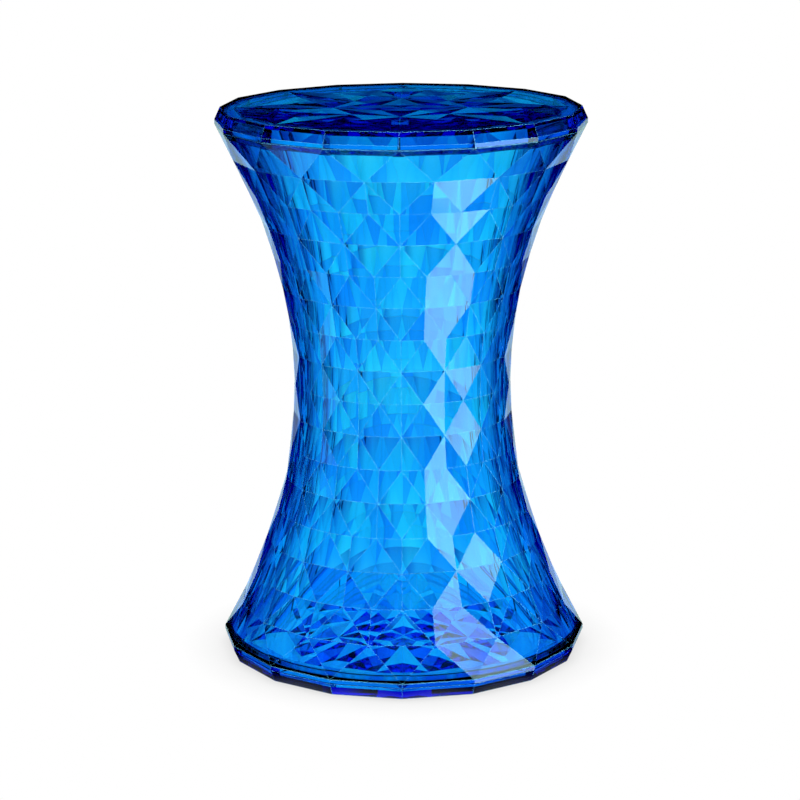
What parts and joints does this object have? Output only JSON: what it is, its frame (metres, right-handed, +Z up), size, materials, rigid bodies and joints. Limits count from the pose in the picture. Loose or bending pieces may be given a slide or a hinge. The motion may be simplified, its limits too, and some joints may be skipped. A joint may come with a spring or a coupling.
{
  "type": "acrylic stool",
  "caption": "Transparent blue acrylic stool: a hollow hourglass body cut in gem-like facets, closed by a flat bevelled seat disc and a matching base disc.",
  "frame": {"origin": "centre of the flat base, on the floor", "axes": "+Z up through the seat; -Y towards the front, with a corner of the sixteen-sided rims on each of X and Y"},
  "size_m": [0.3, 0.3, 0.45],
  "materials": {
    "blue_acrylic": "polished, transparent, dyed through"
  },
  "bodies": {
    "root": {"body": "blue_acrylic", "seat_disc": "blue_acrylic", "base_disc": "blue_acrylic"}
  },
  "joints": []
}
